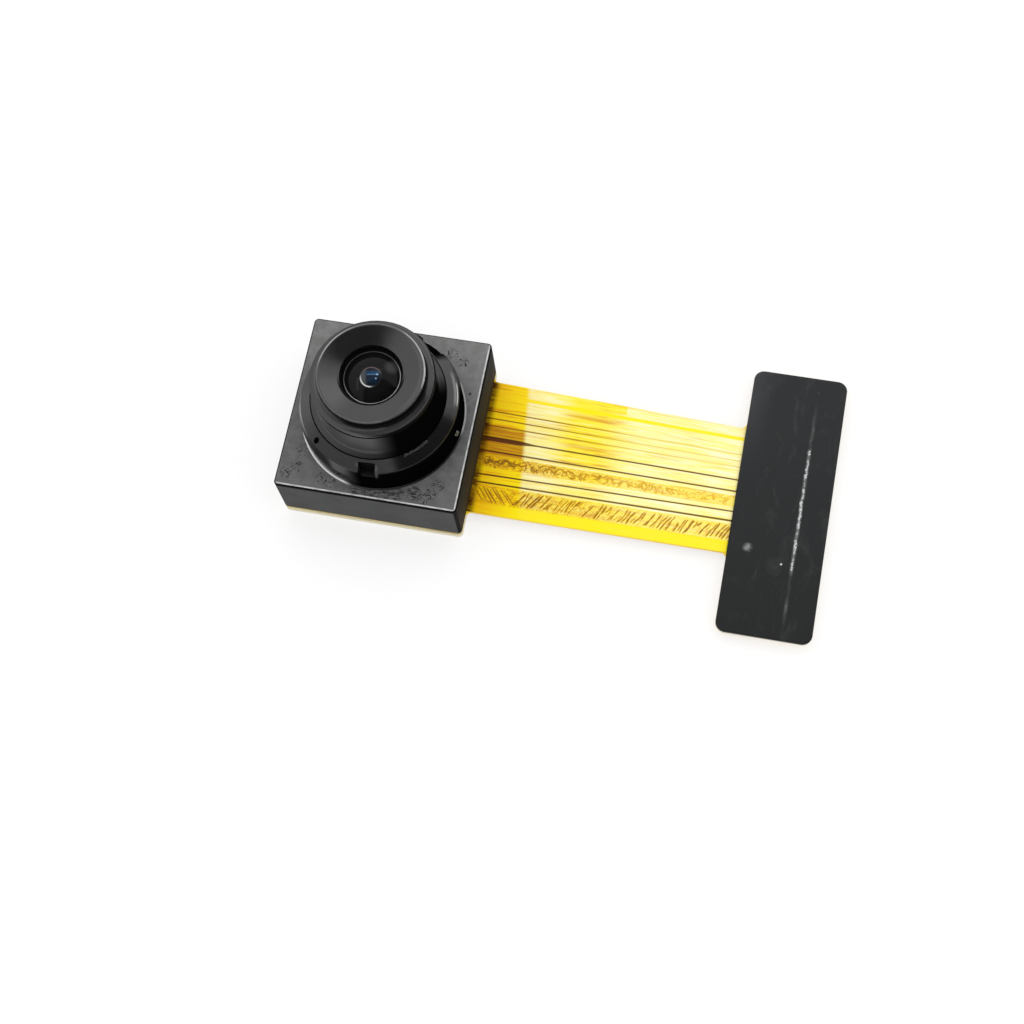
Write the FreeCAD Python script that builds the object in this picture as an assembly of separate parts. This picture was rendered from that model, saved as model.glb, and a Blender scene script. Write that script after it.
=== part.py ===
import FreeCAD, Part
import math
import os

# Miniature fixed focus camera module on a flexible printed circuit.
# Millimetres. Origin on the optical axis, at the back face of the head.
# +Z runs out of the lens, +X along the flex towards the contact tail.

# Head and housing, built up from the sensor package outwards
head_corner_radius = 0.2
housing_height = 2.66
housing_wall = 0.75
housing_edge_break = 0.07
sensor_clearance = 0.2
glue_line = 0.04
glue_inset = 0.1

# Threaded collar that the lens screws into
collar_radius = 3.6
collar_straight = 1.0
collar_top_radius = 3.46
collar_shoulder = 1.5
collar_height = 1.86
thread_bore_radius = 3.0
thread_clearance = 0.05
key_notch = (-87.0, 0.74, 0.78, 3.1)
flat_notch = (60.0, 1.4, 1.2, 3.25)
pin_mark_angle = -133.0
pin_mark_circle = 3.28
pin_mark_radius = 0.13
pin_mark_depth = 0.15

# Thread lock: a bead along the foot of the barrel and a drop on the collar's wall
glue_bead_radius = 0.06
glue_bead_sides = 8
glue_bead_start = -56.0
glue_bead_sweep = 22.0
glue_drop_angle = -12.0
glue_drop_radius = 0.17
glue_drop_height = 0.09

# Filter seat and image window inside the housing
cavity_height = 0.96
filter_size = 5.2
filter_thickness = 0.3
filter_clearance = 0.05
window_radius = 2.3
window_web = 0.3

# Lens barrel, levels measured from the top face of the housing
barrel_bottom = -0.95
barrel_foot = 1.9
barrel_foot_flare = 0.24
barrel_shoulder = 3.6
barrel_shoulder_radius = 2.66
front_bore_radius = 1.78
rear_bore_radius = 2.2
seat_web_top = 3.15
seat_web_thickness = 0.2
seat_web_radius = 1.45
element_clearance = 0.03

# Front bezel, the dished ring round the front element
bezel_radius = 2.7
bezel_lip = 0.1
bezel_rim_outer = 2.32
bezel_rim_radius = 2.22
bezel_height = 4.25
dish_depth = 0.18
dish_aperture = 1.36
cove_radius = 0.32
bezel_underside = 3.72
rim_break = 0.04

# Lens stack behind the seat web
second_thickness = 0.7
front_spacer_thickness = 0.3
stop_thickness = 0.05
stop_aperture = 0.45
third_thickness = 0.8
rear_spacer_thickness = 0.35
rear_thickness = 0.8
retainer_thickness = 0.45
spacer_bore = 1.3
rear_spacer_bore = 1.6
retainer_bore = 1.75

# Caps of the lens surfaces: radius across the cap and its rise towards the front
front_element_caps = [(1.2, 0.32), (1.0, 0.24)]
second_element_caps = [(1.2, 0.14), (1.1, 0.0)]
third_element_caps = [(0.9, 0.0), (1.4, -0.3)]
rear_element_caps = [(1.5, -0.12), (1.6, 0.0)]

# Flexible circuit
back_plate_thickness = 0.3
coverlay_thickness = 0.05
base_film_thickness = 0.05
copper_thickness = 0.02
neck_length = 11.7
neck_near_edge = 2.98
neck_far_edge_head = 3.45
neck_far_edge_tail = 3.0
inner_corner_radius = 0.25
tail_length = 4.2
tail_width = 12.5
tail_offset = -0.35
tail_corner_radius = 0.45
tail_edge_break = 0.05
insertion_thickness = 0.3

# Copper on the lens side: strips across the neck as shares of its width
strip_shares = [
    (0.07, 0.225), (0.25, 0.29), (0.315, 0.455), (0.485, 0.56), (0.58, 0.655),
    (0.665, 0.695), (0.705, 0.735), (0.745, 0.785), (0.795, 0.9), (0.935, 0.985),
]
strip_overlap = 0.4

# Signal traces and contacts on the back
contact_count = 24
contact_pitch = 0.5
contact_width = 0.35
contact_length = 2.8
trace_width = 0.12
trace_share_first = 0.04
trace_share_last = 0.96

# Image sensor package
sensor_length = 5.7
sensor_width = 6.3
ball_rows = 3
ball_columns = 4
ball_pitch = 1.5
ball_radius = 0.19
ball_neck_radius = 0.13
ball_height = 0.18
ball_sides = 6
die_thickness = 0.15
dam_thickness = 0.04
dam_wall = 0.55
cover_glass_thickness = 0.4

# Chip capacitors beside the sensor
capacitor_length = 0.6
capacitor_width = 0.3
capacitor_height = 0.3
capacitor_end = 0.12
capacitor_gap = 0.1
capacitor_spacing = 3.2
window_margin = 0.1

# Length by which a cutting shape runs out past the surface it opens
overcut = 1.0

# Levels worked out from the sizes above
flex_bottom = back_plate_thickness
base_bottom = flex_bottom + coverlay_thickness
base_top = base_bottom + base_film_thickness
flex_top = base_top + coverlay_thickness
housing_bottom = flex_top + glue_line
housing_top = housing_bottom + housing_height
cavity_top = housing_bottom + cavity_height
filter_top = cavity_top + filter_thickness
bore_floor = filter_top + window_web
pad_top = base_top + copper_thickness
cavity_length = sensor_length + 2 * (capacitor_width + 2 * capacitor_gap)
cavity_width = sensor_width + 2 * sensor_clearance
head_length = cavity_length + 2 * housing_wall
head_width = cavity_width + 2 * housing_wall
half_length = head_length / 2
half_width = head_width / 2
filter_pocket = filter_size + 2 * filter_clearance

# Places along the flex
neck_start = half_length
neck_end = neck_start + neck_length
tail_end = neck_end + tail_length
contact_start = tail_end - contact_length
tail_near = tail_offset - tail_width / 2
tail_far = tail_offset + tail_width / 2


def rounded_outline(corners):
    """Closed wire through flat corners (x, y, radius), each corner an arc."""
    count = len(corners)
    ends = []
    for i, (x, y, radius) in enumerate(corners):
        here = FreeCAD.Vector(x, y, 0)
        before = FreeCAD.Vector(*corners[i - 1][:2], 0) - here
        after = FreeCAD.Vector(*corners[(i + 1) % count][:2], 0) - here
        before.normalize()
        after.normalize()
        if radius <= 0:
            ends.append((here, here, here))
            continue
        half_angle = before.getAngle(after) / 2
        reach = radius / math.tan(half_angle)
        middle = before + after
        middle.normalize()
        to_arc = radius / math.sin(half_angle) - radius
        ends.append((here + before * reach, here + middle * to_arc, here + after * reach))
    edges = []
    for i, (start, through, end) in enumerate(ends):
        if start.distanceToPoint(end) > 1e-6:
            edges.append(Part.Arc(start, through, end).toShape())
        following = ends[(i + 1) % count][0]
        if end.distanceToPoint(following) > 1e-6:
            edges.append(Part.LineSegment(end, following).toShape())
    return Part.Wire(edges)


def plate(corners, bottom, thickness):
    """Flat sheet with rounded corners, its underside at a level."""
    sheet = Part.Face(rounded_outline(corners)).extrude(FreeCAD.Vector(0, 0, thickness))
    sheet.translate(FreeCAD.Vector(0, 0, bottom))
    return sheet


def rectangle(length, width, radius=0.0, centre_x=0.0, centre_y=0.0):
    """Corners of a rectangle, counter-clockwise from its lowest corner."""
    x0, x1 = centre_x - length / 2, centre_x + length / 2
    y0, y1 = centre_y - width / 2, centre_y + width / 2
    return [(x0, y0, radius), (x1, y0, radius), (x1, y1, radius), (x0, y1, radius)]


def polygon(points):
    """Corners of a sharp outline."""
    return [(x, y, 0.0) for x, y in points]


def cylinder(radius, bottom, top):
    return Part.makeCylinder(radius, top - bottom, FreeCAD.Vector(0, 0, bottom))


def ring(outer, inner, bottom, top):
    return cylinder(outer, bottom, top).cut(cylinder(inner, bottom, top))


def turned(profile, sweep=360.0):
    """Solid of revolution. Each point is (r, z), or (r, z, r_mid, z_mid) for an arc that ends there."""
    edges = []
    for i, point in enumerate(profile):
        start = FreeCAD.Vector(profile[i - 1][0], 0, profile[i - 1][1])
        end = FreeCAD.Vector(point[0], 0, point[1])
        if start.distanceToPoint(end) < 1e-7:
            continue
        if len(point) == 4:
            through = FreeCAD.Vector(point[2], 0, point[3])
            edges.append(Part.Arc(start, through, end).toShape())
        else:
            edges.append(Part.LineSegment(start, end).toShape())
    face = Part.Face(Part.Wire(edges))
    return face.revolve(FreeCAD.Vector(0, 0, 0), FreeCAD.Vector(0, 0, 1), sweep)


def dome_point(radius, rise, share):
    """Height over its chord of a spherical cap, at a share of the cap's radius."""
    sphere = (radius ** 2 + rise ** 2) / (2 * abs(rise))
    height = math.sqrt(sphere ** 2 - (share * radius) ** 2) - (sphere - abs(rise))
    return math.copysign(height, rise)


def cap_end(r, z, radius, level, rise):
    """Profile point that ends a lens surface: an arc, or a plain point where the surface is flat."""
    if abs(rise) < 1e-9:
        return (r, z)
    return (r, z, radius / 2, level + dome_point(radius, rise, 0.5))


def lens(edge_radius, back, front, front_cap, back_cap):
    """Lens element with a flat rim. A cap is (radius, rise), and a rise above zero is towards +Z."""
    front_radius, front_rise = front_cap
    back_radius, back_rise = back_cap
    profile = [
        (0, back + back_rise),
        cap_end(back_radius, back, back_radius, back, back_rise),
        (edge_radius, back),
        (edge_radius, front),
        (front_radius, front),
        cap_end(0, front + front_rise, front_radius, front, front_rise),
    ]
    return turned(profile)


def group(solids):
    return Part.makeCompound(solids)


# Housing

def notch_cutter(angle, width, depth, inner):
    """Slot cut into the collar from outside, open at the top, down to a flat at an inner radius."""
    floor = housing_top + collar_height - depth
    block = Part.makeBox(collar_radius, width, depth + overcut, FreeCAD.Vector(inner, -width / 2, floor))
    block.rotate(FreeCAD.Vector(0, 0, 0), FreeCAD.Vector(0, 0, 1), angle)
    return block


def collar_blank():
    """Collar round the thread, rooted in the housing's top wall."""
    z = housing_top
    profile = [
        (thread_bore_radius, bore_floor),
        (collar_radius, bore_floor),
        (collar_radius, z + collar_straight),
        (collar_top_radius, z + collar_shoulder),
        (thread_bore_radius, z + collar_height),
    ]
    return turned(profile)


def lens_holder():
    body = plate(rectangle(head_length, head_width, head_corner_radius), housing_bottom, housing_height)
    rims = [e for e in body.Edges if e.BoundBox.ZMin > housing_top - 1e-6]
    body = body.makeChamfer(housing_edge_break, rims)
    body = body.fuse(collar_blank())
    cuts = [
        cylinder(thread_bore_radius, bore_floor, housing_top + collar_height + overcut),
        cylinder(window_radius, housing_bottom, bore_floor),
        plate(rectangle(cavity_length, cavity_width, head_corner_radius), housing_bottom, cavity_height),
        plate(rectangle(filter_pocket, filter_pocket), cavity_top, filter_thickness),
    ]
    cuts.append(notch_cutter(*key_notch))
    cuts.append(notch_cutter(*flat_notch))
    mark_angle = math.radians(pin_mark_angle)
    mark_place = FreeCAD.Vector(
        pin_mark_circle * math.cos(mark_angle),
        pin_mark_circle * math.sin(mark_angle),
        housing_top + collar_shoulder - pin_mark_depth,
    )
    cuts.append(Part.makeCylinder(pin_mark_radius, overcut, mark_place))
    return body.cut(cuts).removeSplitter()


def holder_adhesive():
    outer = rectangle(head_length - 2 * glue_inset, head_width - 2 * glue_inset)
    return plate(outer, flex_top, glue_line).cut(plate(rectangle(cavity_length, cavity_width), flex_top, glue_line))


# Lens

stem_radius = thread_bore_radius - thread_clearance
web_bottom = seat_web_top - seat_web_thickness
second_back = web_bottom - second_thickness
stop_front = second_back - front_spacer_thickness
stop_back = stop_front - stop_thickness
third_back = stop_back - third_thickness
rear_front = third_back - rear_spacer_thickness
rear_back = rear_front - rear_thickness
retainer_back = rear_back - retainer_thickness


def above_housing(profile):
    """The same profile with its levels measured from the housing's top face."""
    return [(p[0], p[1] + housing_top) + ((p[2], p[3] + housing_top) if len(p) == 4 else ()) for p in profile]


def lens_barrel():
    """Stem that screws into the collar, a foot that flares in two bevels and a slightly tapered nose."""
    bottom = barrel_bottom
    waist_radius = stem_radius - barrel_foot_flare
    bevel = barrel_foot_flare * (1 - math.cos(math.pi / 4))
    profile = [
        (rear_bore_radius, bottom),
        (stem_radius, bottom),
        (stem_radius, barrel_foot),
        (waist_radius + bevel, barrel_foot + bevel),
        (waist_radius, barrel_foot + barrel_foot_flare),
        (barrel_shoulder_radius, barrel_shoulder),
        (front_bore_radius, barrel_shoulder),
        (front_bore_radius, seat_web_top),
        (seat_web_radius, seat_web_top),
        (seat_web_radius, web_bottom),
        (front_bore_radius, web_bottom),
        (front_bore_radius, third_back),
        (rear_bore_radius, third_back),
    ]
    return turned(above_housing(profile))


def thread_glue():
    """Bead of thread lock on the collar along the barrel's foot, and a drop stuck to the collar's wall."""
    axis = FreeCAD.Vector(0, 0, 1)
    origin = FreeCAD.Vector(0, 0, 0)
    centre_r, centre_z = thread_bore_radius + glue_bead_radius, housing_top + collar_height
    section = []
    for i in range(glue_bead_sides):
        turn = 2 * math.pi * i / glue_bead_sides
        section.append((centre_r + glue_bead_radius * math.cos(turn), centre_z + glue_bead_radius * math.sin(turn)))
    bead = turned(section, glue_bead_sweep)
    bead.rotate(origin, axis, glue_bead_start)
    base = FreeCAD.Vector(collar_radius - glue_drop_height, 0, housing_top + collar_straight - glue_drop_radius)
    drop = Part.makeCone(glue_drop_radius, glue_drop_radius / 2, 2 * glue_drop_height, base, FreeCAD.Vector(1, 0, 0))
    drop.rotate(origin, axis, glue_drop_angle)
    return group([piece.cut([collar_blank(), lens_barrel()]).Solids[0] for piece in (bead, drop)])


def front_bezel():
    """Dished cap that holds the front element down on its seat."""
    cove_top = barrel_shoulder + bezel_lip + cove_radius
    cove_mid_r = bezel_rim_outer + cove_radius * (1 - math.cos(math.pi / 4))
    cove_mid_z = cove_top - cove_radius * math.sin(math.pi / 4)
    dish_edge = bezel_height - dish_depth
    profile = [
        (dish_aperture, bezel_underside),
        (front_bore_radius, bezel_underside),
        (front_bore_radius, barrel_shoulder),
        (bezel_radius, barrel_shoulder),
        (bezel_radius, barrel_shoulder + bezel_lip),
        (bezel_rim_outer + cove_radius, barrel_shoulder + bezel_lip),
        (bezel_rim_outer, cove_top, cove_mid_r, cove_mid_z),
        (bezel_rim_outer, bezel_height - rim_break),
        (bezel_rim_outer - rim_break, bezel_height),
        (bezel_rim_radius, bezel_height),
        (dish_aperture, dish_edge),
    ]
    return turned(above_housing(profile))


def stack_lens(edge_radius, back, front, caps):
    return lens(edge_radius, housing_top + back, housing_top + front, *caps)


narrow_rim = front_bore_radius - element_clearance
wide_rim = rear_bore_radius - element_clearance


def stack_ring(outer, inner, back, front):
    return ring(outer, inner, housing_top + back, housing_top + front)


# Image sensor

def infrared_filter():
    return plate(rectangle(filter_size, filter_size), cavity_top, filter_thickness)


die_bottom = pad_top + ball_height
dam_bottom = die_bottom + die_thickness
glass_bottom = dam_bottom + dam_thickness


def ball_places():
    """Grid of solder ball centres under the sensor."""
    for row in range(ball_rows):
        for column in range(ball_columns):
            x = (row - (ball_rows - 1) / 2) * ball_pitch
            y = (column - (ball_columns - 1) / 2) * ball_pitch
            yield x, y


def round_polygon(radius, level):
    """Closed wire of a few flats round the Z axis, for pieces too small to need true rounds."""
    step = 2 * math.pi / ball_sides
    points = [
        FreeCAD.Vector(radius * math.cos(i * step), radius * math.sin(i * step), level)
        for i in range(ball_sides + 1)
    ]
    return Part.makePolygon(points)


def solder_balls():
    """Barrel shaped joints, widest at half their height."""
    waist = pad_top + ball_height / 2
    sections = [
        round_polygon(ball_neck_radius, pad_top),
        round_polygon(ball_radius, waist),
        round_polygon(ball_neck_radius, pad_top + ball_height),
    ]
    joint = Part.makeLoft(sections, True, True)
    return group([joint.translated(FreeCAD.Vector(x, y, 0)) for x, y in ball_places()])


def sensor_dam():
    frame = plate(rectangle(sensor_length, sensor_width), dam_bottom, dam_thickness)
    opening = rectangle(sensor_length - 2 * dam_wall, sensor_width - 2 * dam_wall)
    return frame.cut(plate(opening, dam_bottom, dam_thickness))


def capacitor_places():
    """Centres of the chip capacitors, two on each side of the sensor."""
    x = sensor_length / 2 + capacitor_gap + capacitor_width / 2
    for side in (-1, 1):
        for row in (-1, 1):
            yield side * x, row * capacitor_spacing / 2


def capacitor_slice(x, y, from_y, to_y, bottom, top):
    """Box across a capacitor between two places along its length."""
    corner = FreeCAD.Vector(x - capacitor_width / 2, y + from_y, bottom)
    return Part.makeBox(capacitor_width, to_y - from_y, top - bottom, corner)


capacitor_half = capacitor_length / 2
capacitor_top = pad_top + capacitor_height


def capacitor_bodies():
    inner = capacitor_half - capacitor_end
    return group([
        capacitor_slice(x, y, -inner, inner, pad_top, capacitor_top)
        for x, y in capacitor_places()
    ])


def capacitor_ends(bottom, top):
    """The two end blocks of every capacitor between two levels."""
    inner = capacitor_half - capacitor_end
    ends = []
    for x, y in capacitor_places():
        ends.append(capacitor_slice(x, y, -capacitor_half, -inner, bottom, top))
        ends.append(capacitor_slice(x, y, inner, capacitor_half, bottom, top))
    return ends


def component_pads():
    """Copper lands under the solder balls and the capacitor ends."""
    lands = capacitor_ends(base_top, pad_top)
    land = Part.Face(round_polygon(ball_neck_radius, base_top)).extrude(FreeCAD.Vector(0, 0, copper_thickness))
    for x, y in ball_places():
        lands.append(land.translated(FreeCAD.Vector(x, y, 0)))
    return group(lands)


# Flexible circuit

def flex_outline(end):
    """Outline of the flex from the head, where its corners are clipped, to a place in the tail."""
    near = -neck_near_edge
    inner = inner_corner_radius
    last_corner = tail_corner_radius if end == tail_end else 0.0
    clipped_length = half_length - head_corner_radius
    clipped_width = half_width - head_corner_radius
    return [
        (-half_length, -clipped_width, 0.0),
        (-clipped_length, -half_width, 0.0),
        (clipped_length, -half_width, 0.0),
        (half_length, -clipped_width, 0.0),
        (half_length, near, inner),
        (neck_end, near, inner),
        (neck_end, tail_near, tail_corner_radius),
        (end, tail_near, last_corner),
        (end, tail_far, last_corner),
        (neck_end, tail_far, tail_corner_radius),
        (neck_end, neck_far_edge_tail, inner),
        (half_length, neck_far_edge_head, inner),
        (half_length, clipped_width, 0.0),
        (clipped_length, half_width, 0.0),
        (-clipped_length, half_width, 0.0),
        (-half_length, clipped_width, 0.0),
    ]


def neck_y(share, x):
    """Place across the neck, from its near edge at 0 to its far edge at 1."""
    along = (x - neck_start) / neck_length
    far = neck_far_edge_head + along * (neck_far_edge_tail - neck_far_edge_head)
    return -neck_near_edge + share * (far + neck_near_edge)


def ground_copper():
    """Wide strips on the sensor side, from under the head to under the tail plate."""
    start = neck_start - strip_overlap
    end = neck_end + strip_overlap
    strips = []
    for low, high in strip_shares:
        corners = [
            (start, neck_y(low, start)), (end, neck_y(low, end)),
            (end, neck_y(high, end)), (start, neck_y(high, start)),
        ]
        strips.append(plate(polygon(corners), base_top, copper_thickness))
    return strips


def contact_y(index):
    return tail_offset + (index - (contact_count - 1) / 2) * contact_pitch


def signal_traces():
    """Traces on the back that run down the neck and fan out to the contacts."""
    start = neck_start - strip_overlap
    half = trace_width / 2
    spread = trace_share_last - trace_share_first
    traces = []
    for index in range(contact_count):
        share = trace_share_first + spread * index / (contact_count - 1)
        path = [(start, neck_y(share, start)), (neck_end, neck_y(share, neck_end)), (contact_start, contact_y(index))]
        corners = [(x, y - half) for x, y in path] + [(x, y + half) for x, y in reversed(path)]
        traces.append(plate(polygon(corners), base_bottom - copper_thickness, copper_thickness))
    return traces


def contact_fingers():
    middle = contact_start + contact_length / 2
    return group([
        plate(rectangle(contact_length, contact_width, 0.0, middle, contact_y(index)),
              base_bottom - copper_thickness, copper_thickness)
        for index in range(contact_count)
    ])


def coverlay_back(traces):
    sheet = plate(flex_outline(contact_start), flex_bottom, coverlay_thickness)
    return sheet.cut(traces)


def coverlay_front(strips):
    sheet = plate(flex_outline(tail_end), base_top, coverlay_thickness)
    opening = rectangle(cavity_length - 2 * window_margin, cavity_width - 2 * window_margin)
    window = plate(opening, base_top, coverlay_thickness)
    return sheet.cut([window] + strips)


def tail_stiffener():
    """Black plate that brings the tail to the thickness its connector takes."""
    thickness = insertion_thickness - (flex_top - base_bottom) - copper_thickness
    middle = neck_end + tail_length / 2
    corners = rectangle(tail_length, tail_width, tail_corner_radius, middle, tail_offset)
    body = plate(corners, flex_top, thickness)
    rims = [e for e in body.Edges if e.BoundBox.ZMin > flex_top + thickness - 1e-6]
    return body.makeChamfer(tail_edge_break, rims)


def save(name, shape):
    """Check a sub-part and write it to its own file."""
    if not shape.isValid() or not shape.Solids:
        raise ValueError(name + " is not a valid solid")
    if len(shape.Solids) == 1:
        shape = shape.Solids[0]
    shape.exportStep("parts/" + name + ".step")
    print(name, len(shape.Solids), "solids", round(shape.Volume, 4), "mm3")


def main():
    os.makedirs("parts", exist_ok=True)
    strips = ground_copper()
    traces = signal_traces()
    head_outline = rectangle(head_length, head_width, head_corner_radius)
    pieces = {
        "lens_holder": lens_holder(),
        "holder_adhesive": holder_adhesive(),
        "thread_glue": thread_glue(),
        "lens_barrel": lens_barrel(),
        "front_bezel": front_bezel(),
        "front_element": stack_lens(narrow_rim, seat_web_top, bezel_underside, front_element_caps),
        "second_element": stack_lens(narrow_rim, second_back, web_bottom, second_element_caps),
        "front_spacer": stack_ring(narrow_rim, spacer_bore, stop_front, second_back),
        "aperture_stop": stack_ring(narrow_rim, stop_aperture, stop_back, stop_front),
        "third_element": stack_lens(narrow_rim, third_back, stop_back, third_element_caps),
        "rear_spacer": stack_ring(wide_rim, rear_spacer_bore, rear_front, third_back),
        "rear_element": stack_lens(wide_rim, rear_back, rear_front, rear_element_caps),
        "lens_retainer": stack_ring(wide_rim, retainer_bore, retainer_back, rear_back),
        "infrared_filter": infrared_filter(),
        "sensor_cover_glass": plate(rectangle(sensor_length, sensor_width), glass_bottom, cover_glass_thickness),
        "sensor_dam": sensor_dam(),
        "sensor_die": plate(rectangle(sensor_length, sensor_width), die_bottom, die_thickness),
        "solder_balls": solder_balls(),
        "component_pads": component_pads(),
        "capacitor_bodies": capacitor_bodies(),
        "capacitor_terminals": group(capacitor_ends(pad_top, capacitor_top)),
        "coverlay_front": coverlay_front(strips),
        "ground_copper": group(strips),
        "base_film": plate(flex_outline(tail_end), base_bottom, base_film_thickness),
        "signal_traces": group(traces),
        "coverlay_back": coverlay_back(traces),
        "contact_fingers": contact_fingers(),
        "back_plate": plate(head_outline, 0.0, back_plate_thickness),
        "tail_stiffener": tail_stiffener(),
    }
    for name, shape in pieces.items():
        save(name, shape)


main()
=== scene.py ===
import math
import random

import bpy
import numpy as np
from mathutils import Matrix, Vector


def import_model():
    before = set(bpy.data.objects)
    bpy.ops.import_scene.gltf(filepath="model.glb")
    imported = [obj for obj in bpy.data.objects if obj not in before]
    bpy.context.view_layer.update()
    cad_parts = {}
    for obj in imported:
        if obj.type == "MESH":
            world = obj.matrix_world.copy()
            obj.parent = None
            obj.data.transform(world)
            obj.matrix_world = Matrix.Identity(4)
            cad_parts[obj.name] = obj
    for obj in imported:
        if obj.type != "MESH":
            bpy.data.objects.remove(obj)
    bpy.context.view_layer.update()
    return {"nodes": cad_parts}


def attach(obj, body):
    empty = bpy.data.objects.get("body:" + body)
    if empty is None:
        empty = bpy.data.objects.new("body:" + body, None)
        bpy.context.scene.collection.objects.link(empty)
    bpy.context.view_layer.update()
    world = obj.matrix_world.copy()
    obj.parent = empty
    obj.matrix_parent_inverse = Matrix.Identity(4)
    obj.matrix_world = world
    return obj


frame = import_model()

MM = 0.001
nodes = frame["nodes"]
random.seed(7)

# Sizes of the part in millimetres
NECK_START, NECK_END = 4.1, 15.8
NECK_NEAR, NECK_FAR_HEAD, NECK_FAR_TAIL = -2.98, 3.45, 3.0
FLEX_TOP, FLEX_BOTTOM = 0.45, 0.30
RELIEF, OVERLAP = 0.008, 0.001
TAIL_NEAR, TAIL_FAR, TAIL_CORNER = -6.6, 5.9, 0.45
CONTACT_START, CONTACT_PITCH, CONTACT_COUNT = 17.2, 0.5, 24
TAIL_MIDDLE_Y = -0.35
HEAD_HALF, FLAT_HALF = 4.1, 4.03
COLLAR_RADIUS = 3.6
HOUSING_TOP = 3.15
COLLAR_TOP = HOUSING_TOP + 1.86
BEZEL_COVE, BEZEL_RIM = HOUSING_TOP + 3.8, HOUSING_TOP + 4.14

# Features across the neck of the flex, as shares of its width at the head and at the tail
LANES_HEAD = [0.0, 0.084, 0.206, 0.230, 0.290, 0.351, 0.438, 0.471, 0.565, 0.663, 0.719, 0.775, 0.900, 1.0]
LANES_TAIL = [0.0, 0.089, 0.222, 0.251, 0.328, 0.363, 0.450, 0.487, 0.579, 0.682, 0.729, 0.785, 0.909, 1.0]
# Gaps and scribbled bands among them, by their share at the head
DARK_GAPS = [0.230, 0.290, 0.471, 0.565]
THIN_GAPS = [0.663, 0.719, 0.775]
NEAR_BAND, FAR_BAND = (0.088, 0.202), (0.352, 0.438)

# Places of wear, x and y in millimetres
CORNER_SCUFFS = [(-3.66, -3.45), (-3.24, -3.10), (-3.16, -2.31), (-2.89, -2.08)]
EDGE_SCUFFS = [(-2.02, -3.47), (-1.63, -3.59), (2.53, -3.74), (2.82, -3.41), (3.08, -2.99), (2.45, 3.31),
               (2.98, 2.95)]
SCRATCHES = [(-0.42, -3.75), (0.2, -3.78), (0.8, -3.78), (1.4, -3.68), (2.1, -3.5)]
NOTCH_RUBS = [(0.58, -3.20), (0.59, -3.32), (0.60, -3.43), (-0.25, -3.24)]
# Scraped line on the stiffener: its x, and how strong it is from the near side to the far side
SCRAPE_X = 18.715
SCRAPE_STRENGTH = [(0.00, 0.06), (0.05, 0.04), (0.09, 0.2), (0.12, 0.5), (0.16, 0.1), (0.235, 0.14),
                   (0.255, 0.85), (0.40, 1.0), (0.52, 1.0), (0.56, 0.85), (0.65, 0.95), (0.71, 0.8),
                   (0.725, 0.15), (0.79, 0.3), (0.86, 0.08), (0.91, 0.0)]

# Brightness of the light tent in reflections, and of its plain light on the part
TENT_LEVEL, PLAIN_LEVEL = 1.8, 1.2
# Camera: azimuth, elevation and roll in degrees, place and lens in millimetres
CAMERA_TURN = (20.944, 69.216, 10.647)
CAMERA_PLACE = (16.2445, -29.1234, 75.0468)
CAMERA_LENS, SENSOR_WIDTH = 62.77, 36.0


# Scene and node helpers

def add_object(name, data):
    """Object in the scene that shows a mesh, a lamp or a camera."""
    made = bpy.data.objects.new(name, data)
    bpy.context.scene.collection.objects.link(made)
    return made


def empty_tree(owner):
    """Node tree of a material or a world, with nothing in it."""
    owner.use_nodes = True
    owner.node_tree.nodes.clear()
    return owner.node_tree


def new_material(name, specular=0.5, ior=1.5):
    """Material, its tree and its surface shader."""
    material = bpy.data.materials.new(name)
    tree = empty_tree(material)
    output = tree.nodes.new("ShaderNodeOutputMaterial")
    shader = tree.nodes.new("ShaderNodeBsdfPrincipled")
    tree.links.new(shader.outputs[0], output.inputs["Surface"])
    shader.inputs["Specular IOR Level"].default_value = specular
    shader.inputs["IOR"].default_value = ior
    return material, tree, shader


def plug(tree, socket, value):
    """Link a socket to another, or set its value. One number sets a colour to grey."""
    if isinstance(value, bpy.types.NodeSocket):
        tree.links.new(value, socket)
    elif socket.type == "RGBA":
        levels = value if isinstance(value, tuple) else (value, value, value)
        socket.default_value = (*levels, 1.0)
    else:
        socket.default_value = value


def node(tree, kind, inputs=None, **settings):
    """Shader node with its settings and inputs."""
    made = tree.nodes.new("ShaderNode" + kind)
    for key, value in settings.items():
        setattr(made, key, value)
    for key, value in (inputs or {}).items():
        plug(tree, made.inputs[key], value)
    return made


def calc(tree, operation, first, second=0.0):
    return node(tree, "Math", {0: first, 1: second}, operation=operation).outputs[0]


def plus(tree, first, second):
    return calc(tree, "ADD", first, second)


def minus(tree, first, second):
    return calc(tree, "SUBTRACT", first, second)


def times(tree, first, *others):
    for other in others:
        first = calc(tree, "MULTIPLY", first, other)
    return first


def most(tree, first, *others):
    for other in others:
        first = calc(tree, "MAXIMUM", first, other)
    return first


def flip(tree, share):
    """What a share leaves of 1."""
    return minus(tree, 1.0, share)


def distance(tree, first, second):
    return calc(tree, "ABSOLUTE", minus(tree, first, second))


def blend_colour(tree, share, first, second, mode="MIX"):
    made = node(tree, "Mix", {"Factor": share, "A": first, "B": second}, data_type="RGBA", blend_type=mode)
    return made.outputs["Result"]


def blend_value(tree, share, first, second):
    return node(tree, "Mix", {"Factor": share, "A": first, "B": second}, data_type="FLOAT").outputs[0]


def paint(tree, base, *coats):
    """Colour with coats over it, each of them a share and a colour."""
    for share, colour in coats:
        base = blend_colour(tree, share, base, colour)
    return base


def remap(tree, value, low, high, to_low=0.0, to_high=1.0, smooth=True):
    levels = {"Value": value, "From Min": low, "From Max": high, "To Min": to_low, "To Max": to_high}
    kind = "SMOOTHSTEP" if smooth else "LINEAR"
    return node(tree, "MapRange", levels, interpolation_type=kind).outputs["Result"]


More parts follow.
